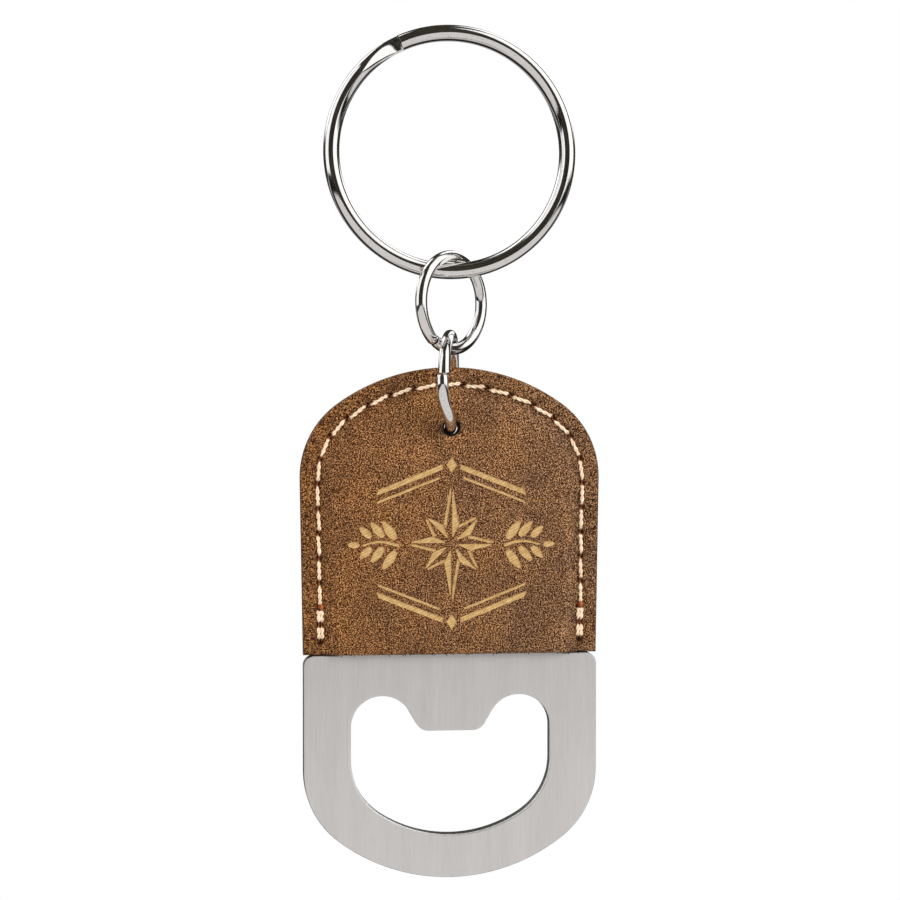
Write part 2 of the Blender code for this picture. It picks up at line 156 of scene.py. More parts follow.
class Soup:
    """Vertices and faces gathered from several shapes, for one piece."""

    def __init__(self):
        self.verts = []
        self.faces = []

    def sweep(self, stations, closed=False):
        """Quads through a list of sections, each a closed loop of points; ends are capped unless closed."""
        start = len(self.verts)
        sides = len(stations[0])
        for section in stations:
            self.verts.extend(section)
        count = len(stations)
        for index in range(count if closed else count - 1):
            first = start + index * sides
            second = start + (index + 1) % count * sides
            for side in range(sides):
                after = (side + 1) % sides
                self.faces.append((first + side, first + after, second + after, second + side))
        if not closed:
            self.faces.append(tuple(start + side for side in range(sides)))
            last = start + (count - 1) * sides
            self.faces.append(tuple(last + side for side in range(sides)))

    def tube(self, path, radii, sideways, sides=8):
        """A round tube along a path; sideways gives each point's first cross direction."""
        stations = []
        for index, centre in enumerate(path):
            tangent = (path[min(index + 1, len(path) - 1)] - path[max(index - 1, 0)]).normalized()
            raised = sideways[index].cross(tangent).normalized()
            level = tangent.cross(raised)
            stations.append([
                centre + (level * math.cos(turn) + raised * math.sin(turn)) * radii[index]
                for turn in (2 * math.pi * side / sides for side in range(sides))
            ])
        self.sweep(stations)


def arc(centre_x, centre_z, radius, start, end, steps):
    angles = [start + (end - start) * step / steps for step in range(steps + 1)]
    return [(centre_x + radius * math.cos(a), centre_z + radius * math.sin(a)) for a in angles]


def arch(half_width, rise, corner_radius, inset=0.0, corner_steps=16, crown_steps=40):
    """A three-centred arch from its right foot over the crown to its left foot, standing at height 0."""
    corner_x = half_width - corner_radius
    crown_radius = (corner_x**2 + rise**2 - corner_radius**2) / (2 * (rise - corner_radius))
    crown_z = rise - crown_radius
    meet = math.atan2(-crown_z, corner_x)
    right = arc(corner_x, 0.0, corner_radius - inset, 0.0, meet, corner_steps)
    crown = arc(0.0, crown_z, crown_radius - inset, meet, math.pi - meet, crown_steps)
    left = arc(-corner_x, 0.0, corner_radius - inset, math.pi - meet, math.pi, corner_steps)
    return right + crown[1:-1] + left


def fillet(before, corner, after, radius, steps=8):
    corner = Vector(corner)
    towards = [(Vector(before) - corner).normalized(), (Vector(after) - corner).normalized()]
    half_angle = towards[0].angle(towards[1]) / 2
    centre = corner + (towards[0] + towards[1]).normalized() * radius / math.sin(half_angle)
    reach = radius / math.tan(half_angle)
    first, last = [corner + way * reach - centre for way in towards]
    turn = first.angle_signed(last)
    return [tuple(centre + Matrix.Rotation(-turn * step / steps, 2) @ first) for step in range(steps + 1)]


def inset_loop(points, distance):
    """A closed outline moved to its left by a distance, corner by corner."""
    moved = []
    for index, point in enumerate(points):
        here = Vector(point)
        back = (here - Vector(points[index - 1])).normalized()
        ahead = (Vector(points[(index + 1) % len(points)]) - here).normalized()
        normals = [Vector((-way.y, way.x)) for way in (back, ahead)]
        middle = (normals[0] + normals[1]).normalized()
        moved.append(tuple(here + middle * distance / middle.dot(normals[0])))
    return moved


def circle(centre_x, centre_z, radius, sides, phase=0.0):
    return arc(centre_x, centre_z, radius, phase, phase + 2 * math.pi, sides)[:-1]


def smooth(value):
    """0 below 0, 1 above 1 and an even curve between, for a number or an array."""
    value = np.clip(value, 0.0, 1.0)
    return value * value * (3 - 2 * value)


# ---- materials

class Shading:
    """A short way to build a node tree. A value is a socket or a constant."""

    def __init__(self, tree):
        self.tree = tree

    def node(self, kind, inputs=None, **properties):
        made = self.tree.nodes.new(kind)
        for key, value in properties.items():
            setattr(made, key, value)
        for key, value in (inputs or {}).items():
            self.give(made.inputs[key], value)
        return made

    def give(self, socket, value):
        if isinstance(value, bpy.types.NodeSocket):
            self.tree.links.new(value, socket)
        else:
            socket.default_value = value

    def math(self, operation, *values):
        return self.node("ShaderNodeMath", dict(enumerate(values)), operation=operation).outputs[0]

    def xyz(self, vector):
        return self.node("ShaderNodeSeparateXYZ", {"Vector": vector}).outputs

    def remap(self, value, low, high, to_low=0.0, to_high=1.0, kind="LINEAR"):
        """From one range to another, held at both ends; the first range may run downwards."""
        return self.node("ShaderNodeMapRange", {
            "Value": value, "From Min": low, "From Max": high, "To Min": to_low, "To Max": to_high,
        }, interpolation_type=kind).outputs[0]

    def mix(self, amount, first, second, kind="MIX"):
        """A mix of two colours, each a socket or a linear red, green and blue."""
        inputs = {0: amount}
        for index, colour in ((6, first), (7, second)):
            inputs[index] = colour if isinstance(colour, bpy.types.NodeSocket) else (*colour, 1.0)
        return self.node("ShaderNodeMix", inputs, data_type="RGBA", blend_type=kind).outputs[2]

    def noise(self, scale, detail=2.0, roughness=0.5, vector=None, distortion=0.0):
        made = self.node("ShaderNodeTexNoise", {
            "Scale": scale, "Detail": detail, "Roughness": roughness, "Distortion": distortion,
        })
        if vector is not None:
            self.tree.links.new(vector, made.inputs["Vector"])
        return made.outputs["Fac"]


class Surface(Shading):
    """A principled material, with textures placed on the object's own coordinates, in metres."""

    def __init__(self, name):
        self.material = bpy.data.materials.new(name)
        self.material.use_nodes = True
        super().__init__(self.material.node_tree)
        self.place = self.node("ShaderNodeTexCoord").outputs["Object"]

    def finish(self, **values):
        shader = self.tree.nodes["Principled BSDF"]
        for key, value in values.items():
            self.give(shader.inputs[key.replace("_", " ")], value)
        return self.material

    def mapped(self, **values):
        inputs = {key.capitalize(): value for key, value in values.items()}
        return self.node("ShaderNodeMapping", {"Vector": self.place, **inputs}).outputs["Vector"]

    def grain(self, scale, detail=2.0, roughness=0.5):
        return self.noise(scale, detail, roughness, self.place)

    def stretched(self, scale, detail, roughness, distortion=0.0):
        """Noise with its own scale along each axis."""
        return self.noise(1.0, detail, roughness, self.mapped(scale=scale), distortion)

    def ramp(self, value, stops):
        made = self.node("ShaderNodeValToRGB", {"Fac": value})
        elements = made.color_ramp.elements
        while len(elements) < len(stops):
            elements.new(0.5)
        for element, (position, colour) in zip(elements, stops):
            element.position = position
            element.color = (*colour, 1.0)
        return made.outputs["Color"]

    def bump(self, height, strength, distance, **below):
        return self.node("ShaderNodeBump", {
            "Height": height, "Strength": strength, "Distance": distance, **below,
        }).outputs["Normal"]

    def outwards(self):
        """The distance from the middle plane between the two covers."""
        return self.math("ABSOLUTE", self.xyz(self.place)["Y"])


def srgb(red, green, blue):
    """A linear colour from 8-bit sRGB values."""
    return tuple(
        (c / 255 / 12.92) if c <= 10 else ((c / 255 + 0.055) / 1.055) ** 2.4 for c in (red, green, blue)
    )


def leather_material(name, warmth):
    """Leatherette: a brown nubuck print of fine specks, darker on the rim, with painted shade in the needle
    holes and along the rounded edge, a painted shadow of the jump ring beside the hole and a painted sheen
    towards the right.
    """
    n = Surface(name)
    fine = n.grain(7200.0, 2.0, 0.6)
    finer = n.grain(12500.0, 1.0, 0.5)
    specks = n.ramp(n.math("ADD", fine, n.remap(finer, 0.0, 1.0, -0.30, 0.30)), [
        (0.38, srgb(8, 2, 0)), (0.45, srgb(55, 25, 5)), (0.51, srgb(108, 63, 29)),
        (0.56, srgb(149, 103, 63)), (0.63, srgb(232, 188, 144)),
    ])
    clouds = n.grain(190.0, 3.0, 0.6)
    patched = n.mix(n.remap(clouds, 0.35, 0.65), srgb(220, 216, 216), srgb(255, 248, 234))
    colour = n.mix(1.0, specks, patched, "MULTIPLY")
    dots = n.node("ShaderNodeTexVoronoi", {"Vector": n.place, "Scale": 1250.0}).outputs["Distance"]
    colour = n.mix(n.remap(dots, 0.10, 0.20, 0.75, 0.0), colour, srgb(24, 11, 5))
    # Painted shadow of the lower jump ring on the leather, up and to the left of the hole.
    link_shadow_place = n.mapped(location=(0.6, 0.0, 12.15), scale=(400.0, 0.0, 270.0))
    link_shadow_reach = n.node("ShaderNodeVectorMath", {0: link_shadow_place}, operation="LENGTH").outputs["Value"]
    colour = n.mix(n.remap(link_shadow_reach, 0.3, 1.15, 0.36, 0.0), colour, srgb(52, 28, 12))
    # Tints by place: whiter and bluer to the right and warmer to the left, a painted sheen; darker towards the
    # bottom; darker on the rim than on the raised panel.
    place = n.xyz(n.place)
    white = (1.0, 1.0, 1.0)
    left_tint = tuple(a * b for a, b in zip(srgb(250, 236, 206), warmth))
    for tint in (
        n.mix(n.remap(place["X"], -0.017, 0.017), left_tint, srgb(244, 247, 252)),
        n.mix(n.remap(place["Z"], -0.072, -0.048), srgb(238, 238, 238), white),
        n.mix(n.remap(n.outwards(), 0.00095, 0.0014), srgb(236, 234, 230), white),
    ):
        colour = n.mix(1.0, colour, tint, "MULTIPLY")
    # Painted shade where the face sinks below the rim: in the needle dimples and along the rounded outer edge.
    colour = n.mix(n.remap(n.outwards(), 0.00060, 0.00083, 1.0, 0.0), colour, srgb(46, 24, 12))
    pebbles = n.bump(n.grain(2100.0, 4.0, 0.65), 0.35, 0.00006)
    return n.finish(
        Base_Color=colour, Roughness=n.remap(fine, 0.3, 0.7, 0.62, 0.46),
        Normal=n.bump(clouds, 0.25, 0.0003, Normal=pebbles),
        Specular_IOR_Level=0.18, Sheen_Weight=0.03, Sheen_Roughness=0.5,
    )


def cut_edge_material():
    """The covers' cut edge and backing: dark dyed fibre."""
    n = Surface("leather_cut_edge")
    fibre = n.noise(5200.0, 4.0, 0.7, n.mapped(scale=(1.0, 2.6, 1.0)))
    colour = n.ramp(fibre, [(0.30, srgb(22, 14, 10)), (0.55, srgb(58, 38, 26)), (0.75, srgb(104, 76, 54))])
    return n.finish(
        Base_Color=colour, Normal=n.bump(fibre, 0.6, 0.00008), Roughness=0.85, Specular_IOR_Level=0.2,
    )


def hole_shade_material():
    """Painted shade: near black and mottled, for the sleeve inside the punched hole."""
    n = Surface("hole_painted_shade")
    fibre = n.grain(4200.0, 3.0, 0.6)
    colour = n.ramp(fibre, [(0.3, srgb(8, 6, 5)), (0.6, srgb(26, 19, 14)), (0.8, srgb(52, 38, 28))])
    return n.finish(
        Base_Color=colour, Normal=n.bump(fibre, 0.5, 0.00006), Roughness=0.7, Specular_IOR_Level=0.3,
    )


def thread_material():
    """Waxed cream thread, with painted shade where its strands dive into the needle holes."""
    n = Surface("waxed_thread")
    strand = n.noise(5200.0, 3.0, 0.6, n.mapped(scale=(1.0, 1.0, 0.45)))
    colour = n.ramp(strand, [
        (0.28, srgb(214, 168, 118)), (0.48, srgb(250, 222, 190)), (0.7, srgb(255, 240, 216)),
    ])
    # Painted shade on the thread where it sinks into the needle holes.
    colour = n.mix(n.remap(n.outwards(), 0.00072, 0.00094, 1.0, 0.0), colour, srgb(150, 84, 38))
    return n.finish(
        Base_Color=colour, Normal=n.bump(strand, 0.4, 0.00005),
        Roughness=0.62, Specular_IOR_Level=0.35, Sheen_Weight=0.15,
    )


def bead_material():
    """Thread melted to a brown bead."""
    n = Surface("melted_thread")
    colour = n.ramp(n.grain(3000.0, 3.0), [
        (0.3, srgb(88, 34, 12)), (0.6, srgb(168, 84, 34)), (0.8, srgb(214, 140, 76)),
    ])
    return n.finish(Base_Color=colour, Roughness=0.35, Coat_Weight=0.2)


def engraving_material():
    """Laser engraved leatherette: golden core with fine scan lines and a trace of soot."""
    n = Surface("laser_engraving")
    lines = n.node("ShaderNodeTexWave", {
        "Vector": n.mapped(rotation=(0.0, 0.45, 0.0)),
        "Scale": 980.0, "Distortion": 1.6, "Detail": 2.0, "Detail Scale": 2.0,
    }, bands_direction="Z").outputs["Fac"]
    base = n.ramp(n.grain(1700.0, 3.0, 0.6), [
        (0.3, srgb(178, 140, 88)), (0.5, srgb(203, 168, 112)), (0.72, srgb(222, 190, 136)),
    ])
    colour = n.mix(n.remap(lines, 0.0, 1.0, 0.0, 0.5), base, srgb(150, 114, 70))
    return n.finish(
        Base_Color=colour, Normal=n.bump(lines, 0.35, 0.00004), Roughness=0.7, Specular_IOR_Level=0.25,
    )


def brushed_material():
    """Brushed stainless: faint vertical lines, slightly cloudy, with a satin gloss, and painted shade that
    darkens it towards the sleeve.
    """
    n = Surface("brushed_stainless")
    brush = n.stretched((5600.0, 900.0, 260.0), 5.0, 0.7)
    broad = n.stretched((420.0, 60.0, 26.0), 3.0, 0.5)
    colour = n.ramp(brush, [
        (0.25, (0.665, 0.652, 0.636)), (0.5, (0.715, 0.702, 0.686)), (0.75, (0.765, 0.752, 0.736)),
    ])
    # Painted shade: lighter at the bottom, darker near the leather sleeve above.
    height = n.remap(n.xyz(n.place)["Z"], -0.089, -0.074)
    colour = n.mix(1.0, colour, n.mix(height, (1.045, 1.045, 1.045), (0.98, 0.98, 0.985)), "MULTIPLY")
    cloudy = n.mix(n.remap(broad, 0.3, 0.7), (0.93, 0.93, 0.93), (1.0, 0.998, 1.0))
    return n.finish(
        Base_Color=n.mix(1.0, colour, cloudy, "MULTIPLY"), Normal=n.bump(brush, 0.03, 0.00002),
        Roughness=n.remap(brush, 0.3, 0.7, 0.40, 0.46), Metallic=0.7,
    )


def sheared_edge_shade_material():
    """The plate's stamped walls: steel torn in fine lines through the thickness, made far darker than bare
    steel as painted shade.
    """
    n = Surface("sheared_edge_painted_shade")
    torn = n.stretched((2400.0, 500.0, 2400.0), 4.0, 0.7)
    colour = n.ramp(torn, [
        (0.3, (0.10, 0.095, 0.085)), (0.55, (0.20, 0.19, 0.175)), (0.8, (0.36, 0.35, 0.33)),
    ])
    return n.finish(Base_Color=colour, Normal=n.bump(torn, 0.3, 0.00003), Metallic=0.9, Roughness=0.38)


def nickel_material(name, pitted):
    """Bright nickel plating with hairline scratches and a few tiny pits."""
    n = Surface(name)
    scratch = n.stretched((2600.0, 2600.0, 700.0), 4.0, 0.7, 0.6)
    pits = n.grain(5200.0, 2.0, 0.5)
    colour = n.ramp(pits, [
        (0.28, (0.50, 0.48, 0.45)), (0.36, (0.80, 0.79, 0.775)), (0.7, (0.87, 0.86, 0.85)),
    ])
    return n.finish(
        Base_Color=colour, Normal=n.bump(pits, pitted, 0.00002),
        Roughness=n.remap(scratch, 0.4, 0.75, 0.045, 0.16), Metallic=1.0,
    )


# ---- rings

def ring_section(radial, front_share, shrink, points=11):
    """One section of the split ring's wire, between a front and a rear half-round."""
    roundness = 2.15
    flat_sag = 0.12
    centre_y = (RING_WIRE_HEIGHT + RING_TURN_GAP) / 2 * (1 - 2 * front_share)
    half_width = RING_WIRE_WIDTH / 2
    mid_radius = RING_OUTER_RADIUS - half_width
    sides = []
    for direction, round_share in ((-1, front_share), (1, 1 - front_share)):
        side = []
        for point in range(points):
            across = -math.cos(math.pi * (point + 0.5) / points)
            domed = (1 - abs(across) ** roundness) ** (1 / roundness)
            flat = 0.5 * (1 - flat_sag * abs(across) ** 6)
            height = round_share * (domed - 0.5) + (1 - round_share) * flat
            side.append((across * half_width, centre_y + direction * height * RING_WIRE_HEIGHT))
        sides.append(side)
    profile = sides[0] + sides[1][::-1]
    return [
        Vector((
            radial.x * (mid_radius + across * shrink),
            centre_y + (y - centre_y) * shrink,
            RING_CENTRE_Z + radial.y * (mid_radius + across * shrink),
        ))
        for across, y in profile
    ]


def split_ring(surface):
    """Two turns, clockwise from the front tip: the front turn, the jog behind that tip, the rear turn."""
    tip_clearance = math.degrees(RING_TIP_CLEARANCE / RING_OUTER_RADIUS)
    jog = RING_REAR_TIP_ANGLE - RING_FRONT_TIP_ANGLE
    turn = 360.0 - jog
    total = 2 * turn + jog
    steps = 560
    tip_bevel = 0.12
    travels = [0.0] + [total * step / steps for step in range(steps + 1)] + [total]
    travels[1] += tip_bevel
    travels[-2] -= tip_bevel
    stations = []
    for index, travelled in enumerate(travels):
        angle = math.radians(RING_FRONT_TIP_ANGLE - travelled)
        moved_back = smooth((travelled - turn - tip_clearance) / (jog - 1.25 * tip_clearance))
        shrink = 0.93 if index in (0, len(travels) - 1) else 1.0
        stations.append(ring_section(Vector((math.cos(angle), math.sin(angle))), 1 - moved_back, shrink))
    soup = Soup()
    soup.sweep(stations)
    add_piece("split_ring_wire", soup.verts, soup.faces, "split_ring_body",
              ["split_ring"], WIRE_SMOOTH_ANGLE, [surface])


def jump_ring(name, node, body, centre, turn, joint_angle, surface, lean, twist=0.0, tuck=0.0):
    """A ring of round wire closed by a butt joint whose two cut ends sit a hair out of line.

    The ring isn't quite flat: a twist turns one of its sides more than the other, and a tuck turns it where it
    runs into the hole under it.
    """
    up = Vector((0.0, 0.0, 1.0))
    gap = math.degrees(JOINT_GAP / LINK_RADIUS)
    tuck_angle, tuck_reach = 252.0, 58.0
    count, sides = 150, 28
    stations = []
    for station in range(count + 1):
        share = station / count
        angle = math.radians(joint_angle + gap / 2 + (360 - gap) * share)
        from_tuck = abs((math.degrees(angle) - tuck_angle + 180.0) % 360.0 - 180.0)
        turned = math.radians(turn + twist * math.cos(angle) + tuck * smooth(1 - from_tuck / tuck_reach))
        across = Vector((math.cos(turned), math.sin(turned), 0.0))
        normal = across.cross(up)
        outward = across * math.cos(angle) + up * math.sin(angle)
        offset_share = max(0.0, 1 - share * 9) - max(0.0, 1 - (1 - share) * 9)
        spot = Vector(centre) + outward * LINK_RADIUS + normal * offset_share * lean
        radius = LINK_WIRE_RADIUS * (0.90 if station in (0, count) else 1.0)
        stations.append([
            spot + (outward * math.cos(a) + normal * math.sin(a)) * radius
            for a in (2 * math.pi * (side + 0.5) / sides for side in range(sides))
        ])
    soup = Soup()
    soup.sweep(stations)
    add_piece(name, soup.verts, soup.faces, body, [node], WIRE_SMOOTH_ANGLE, [surface])


# ---- plate

def mouth_outline():
    """The cap mouth, clockwise, from the left foot of its bowl."""
    slope = math.radians(LIP_SIDE_ANGLE)
    lobe_z = LOBE_TOP_HEIGHT - LOBE_RADIUS
    touch_x = LOBE_CENTRE_X - LOBE_RADIUS * math.sin(slope)
    touch_z = lobe_z + LOBE_RADIUS * math.cos(slope)
    corner = (touch_x - (touch_z - LIP_HEIGHT) / math.tan(slope), LIP_HEIGHT)
    right = fillet((0.0, LIP_HEIGHT), corner, (touch_x, touch_z), LIP_CORNER_RADIUS)
    lobe = arc(LOBE_CENTRE_X, lobe_z, LOBE_RADIUS, math.pi / 2 + slope, 0.0, 30)
    bowl = arch(MOUTH_HALF_WIDTH, MOUTH_BOWL_RISE, MOUTH_BOWL_CORNER_RADIUS)
    foot_z = MOUTH_BOTTOM_HEIGHT + MOUTH_BOWL_RISE
    upper = [(-x, z) for x, z in reversed(right + lobe)] + right + lobe
    return upper + [(x, foot_z - z) for x, z in bowl]


def sleeve_path(inset):
    """The covers' side, top and other side, moved inwards by an inset, from right to left."""
    lower_x = PLATE_HALF_WIDTH - inset
    top = arch(COVER_HALF_WIDTH, COVER_RISE, COVER_CORNER_RADIUS, inset)
    raised = [(x, COVER_SPRING_HEIGHT + z) for x, z in top]
    return [(lower_x, COVER_LOWER_HEIGHT)] + raised + [(-lower_x, COVER_LOWER_HEIGHT)]


def plate_outline():
    tang = sleeve_path(TANG_INSET)
    tang_x = tang[0][0]
    outer = (PLATE_HALF_WIDTH, SHOULDER_HEIGHT)
    inner = (tang_x, SHOULDER_HEIGHT)
    shoulder = fillet((PLATE_HALF_WIDTH, 0.0), outer, inner, SHOULDER_RADIUS)
    root = fillet(outer, inner, (tang_x, COVER_SPRING_HEIGHT), TANG_ROOT_RADIUS)
    right = shoulder + root
    left = [(-x, z) for x, z in reversed(right)]
    foot = [(-x, FOOT_RISE - z) for x, z in arch(PLATE_HALF_WIDTH, FOOT_RISE, FOOT_CORNER_RADIUS)]
    return right + tang[1:-1] + left + foot


def edge_profile(front_radius, rear_radius, steps=5, flat_band=0.05):
    """(y, inset) layers through the plate, with rounded edges and a narrow flat band beside each."""
    half = PLATE_THICKNESS / 2
    quarter = [math.pi / 2 * step / steps for step in range(steps + 1)]

    def rounded(radius):
        return [(half - radius * (1 - math.cos(a)), radius * (1 - math.sin(a))) for a in quarter]

    front = [(-y, inset) for y, inset in rounded(front_radius)]
    rear = rounded(rear_radius)[::-1]
    return [(-half, front_radius + flat_band)] + front + rear + [(half, rear_radius + flat_band)]


def opener_plate(surface, wall_surface):
    """The stamped plate; each outline has its own rounded edges and its own depth of darker wall, a painted
    shade that also takes in part of the rounding.
    """
    bm = bmesh.new()
    indices = []
    outlines = [
        (plate_outline(), edge_profile(0.16, 0.16), 0.86),
        (mouth_outline(), edge_profile(0.20, 0.12), 0.70),
        (circle(0.0, HOLE_HEIGHT, PLATE_HOLE_RADIUS, 40)[::-1], edge_profile(0.2, 0.2), 0.70),
    ]
    caps = ([], [])
    for outline, layers, wall_reach in outlines:
        placed = [(x, BOTTOM_Z + z) for x, z in outline]
        loops = [[bm.verts.new((x, y, z)) for x, z in inset_loop(placed, inset)] for y, inset in layers]
        for (first, second), (layer, after_layer) in zip(zip(loops, loops[1:]), zip(layers, layers[1:])):
            # Wall faces, part of the rounding among them, take the edge material darkened as painted shade.
            is_wall = abs(layer[0] + after_layer[0]) / 2 < wall_reach
            for index in range(len(first)):
                after = (index + 1) % len(first)
                bm.faces.new((first[index], first[after], second[after], second[index]))
                indices.append(int(is_wall))
        caps[0].append(loops[0])
        caps[1].append(loops[-1])
    for cap in caps:
        edges = [
            bm.edges.get(pair) or bm.edges.new(pair)
            for loop in cap for pair in zip(loop, loop[1:] + loop[:1])
        ]
        bmesh.ops.triangle_fill(bm, use_beauty=True, use_dissolve=False, edges=edges)
    bm.verts.index_update()
    verts = [v.co.copy() for v in bm.verts]
    faces = [[v.index for v in f.verts] for f in bm.faces]
    bm.free()
    indices += [0] * (len(faces) - len(indices))
    add_piece("opener_plate_steel", verts, faces, "opener_body",
              ["opener_plate"], 50, [surface, wall_surface], indices)


# ---- seam

def seam_path():
    """Closely spaced points along the seam, from its right end over the top to its left end."""
    fine = []
    rough = sleeve_path(SEAM_INSET)
    for first, second in zip(rough, rough[1:]):
        pieces = max(1, round((Vector(second) - Vector(first)).length / 0.02))
        for piece in range(pieces):
            fine.append(Vector(first).lerp(Vector(second), piece / pieces))
    fine.append(Vector(rough[-1]))
    return [point for point in fine if point.y >= SEAM_END_HEIGHT]


def needle_points():
    """The needle holes' centres: short stitches at both ends and even ones between, right to left."""
    path = seam_path()
    reached = [0.0]
    for first, second in zip(path, path[1:]):
        reached.append(reached[-1] + (second - first).length)
    tack_length = TACK_STITCHES * TACK_PITCH
    pitch = (reached[-1] - 2 * tack_length) / PLAIN_STITCHES
    places = [TACK_PITCH * step for step in range(TACK_STITCHES)]
    places += [tack_length + pitch * step for step in range(PLAIN_STITCHES + 1)]
    places += [reached[-1] - TACK_PITCH * step for step in reversed(range(TACK_STITCHES))]
    centres = []
    for place in places:
        index = next((i for i, run in enumerate(reached) if run >= place), len(reached) - 1)
        centres.append(path[index])
    return centres


NEEDLES = needle_points()


def distance_to_path(points, path, closed=False):
    """Each point's distance to a polyline, as an array."""
    starts = np.array(path, float)
    ends = np.roll(starts, -1, axis=0)
    if not closed:
        starts, ends = starts[:-1], ends[:-1]
    nearest = np.full(len(points), 1e9)
    for start, end in zip(starts, ends):
        way = end - start
        length = max(way @ way, 1e-12)
        along = np.clip(((points - start) @ way) / length, 0.0, 1.0)
        gap = points - (start + along[:, None] * way)
        nearest = np.minimum(nearest, np.einsum("ij,ij->i", gap, gap))
    return np.sqrt(nearest)


def inside_polygon(points, polygon):
    """Which points lie inside a closed polygon."""
    x, z = points[:, 0], points[:, 1]
    inside = np.zeros(len(points), bool)
    for (x1, z1), (x2, z2) in zip(polygon, polygon[1:] + polygon[:1]):
        if z1 == z2:
            continue
        crosses = (z1 > z) != (z2 > z)
        inside ^= crosses & (x < (x2 - x1) * (z - z1) / (z2 - z1) + x1)
    return inside


# ---- motif

def blunted(outline, width=0.13):
    """A closed outline whose sharp tips are cut off where they are a given width."""
    made = []
    for index, point in enumerate(outline):
        back = (outline[index - 1] - point).normalized()
        ahead = (outline[(index + 1) % len(outline)] - point).normalized()
        half_angle = back.angle(ahead) / 2
        if half_angle < math.radians(38):
            reach = width / 2 / math.sin(half_angle)
            made += [point + back * reach, point + ahead * reach]
        else:
            made.append(point)
    return made


def crossing(point, way, other, other_way):
    """Where two lines meet, each given by a point and a direction."""
    share = (other - point).cross(other_way) / way.cross(other_way)
    return point + way * share


def star_facets():
    """An eight-pointed star: each point has a solid half and an outlined half."""
    facets = []
    corner_radius, line, margin_width = 2.45, 0.36, 0.07
    middle = Vector((0.0, 0.0))
    for index, reach in enumerate((7.7, 4.9, 5.8, 4.9) * 2):
        angle = math.pi / 2 - index * math.pi / 4
        axis = Vector((math.cos(angle), math.sin(angle)))
        tip = axis * reach
        corners = [
            Vector((math.cos(angle + turn), math.sin(angle + turn))) * corner_radius
            for turn in (-math.pi / 8, math.pi / 8)
        ]
        solid = [axis * 0.2, corners[0], tip]
        facets.append(blunted([Vector(p) for p in inset_loop(solid, margin_width)]))
        edge = (tip - corners[1]).normalized()
        inner = corners[1] + Vector((edge.y, -edge.x)) * line
        foot = crossing(inner, edge, middle, corners[1])
        head = crossing(inner, edge, middle, axis)
        margin = Vector((axis.y, -axis.x)) * -margin_width
        facets.append(blunted([corners[1], foot, head + margin, tip - axis * 0.35 + margin]))
    return facets


def leaf_outline(root, tilt, length, half_width):
    """A pointed leaf, from its foot along one side to its tip and back."""
    ahead = Vector((math.cos(tilt), math.sin(tilt)))
    across = Vector((-ahead.y, ahead.x))
    steps = 9
    widest_early = 0.85
    sides = ([], [])
    for share in (step / steps for step in range(1, steps)):
        spread = across * half_width * math.sin(math.pi * share**widest_early)
        for side, way in zip(sides, (-1, 1)):
            side.append(root + ahead * length * share + spread * way)
    return sides[0] + sides[1][::-1]


def sprig():
    """A curved stem with paired leaves that grow shorter to its tip, on the star's right."""
    start, length = 6.2, 4.3

    def stem(share):
        return Vector((start + length * share, 0.26 * math.sin(math.pi * (share * 1.5 - 0.3))))

    steps = 12
    shares = [step / steps for step in range(steps + 1)]
    upper, lower = [
        [stem(share) + Vector((0.0, way * (0.19 - 0.08 * share))) for share in shares] for way in (1, -1)
    ]
    shapes = [lower + upper[::-1]]
    for pair in range(3):
        for way in (1, -1):
            tilt = math.radians(54 - 5 * pair) * way
            root = stem(0.05 + 0.34 * pair) + Vector((0.0, 0.40 * way))
            shapes.append(leaf_outline(root, tilt, 3.3 - 0.48 * pair, 0.52 - 0.04 * pair))
    shapes.append(leaf_outline(stem(1.0) + Vector((0.26, 0.0)), 0.05, 1.7, 0.38))
    return shapes


def chevrons():
    """A broad and a fine bar on each side of a small lozenge, above the star."""
    half_span, drop = 8.9, 3.5
    shapes = []
    for start, foot, thickness in ((1.05, 9.15, 0.62), (1.45, 8.15, 0.30)):
        inner_end = Vector((start, foot - start * drop / half_span))
        outer_end = Vector((half_span, foot - drop))
        rise = Vector((0.0, thickness))
        bar = [inner_end, outer_end, outer_end + Vector((-0.25, 0.1)) + rise, inner_end + rise]
        shapes.append(bar)
        shapes.append([Vector((-p.x, p.y)) for p in reversed(bar)])
    middle = Vector((0.0, 9.25))
    shapes.append([middle + Vector(p) for p in ((0.62, 0.0), (0.0, 0.95), (-0.62, 0.0), (0.0, -0.95))])
    return shapes


def motif_shapes():
    """A generic ornament: a faceted star between two sprigs, with chevrons above and below.

    Each shape is an anticlockwise outline.
    """
    shapes = star_facets()
    for shape in sprig():
        shapes += [shape, [Vector((-p.x, p.y)) for p in shape]]
    for shape in chevrons():
        shapes += [shape, [Vector((p.x, -p.y)) for p in shape]]
    turned = []
    for outline in shapes:
        area = sum(a.x * b.y - b.x * a.y for a, b in zip(outline, outline[1:] + outline[:1]))
        turned.append(outline if area > 0 else outline[::-1])
    return [[(p.x, p.y + MOTIF_HEIGHT) for p in outline] for outline in turned]


def resampled(outline, pitch):
    """A closed outline with points no further apart than the pitch."""
    made = []
    for first, second in zip(outline, outline[1:] + outline[:1]):
        first, second = Vector(first), Vector(second)
        pieces = max(1, math.ceil((second - first).length / pitch))
        made += [tuple(first.lerp(second, piece / pieces)) for piece in range(pieces)]
    return made


# ---- covers

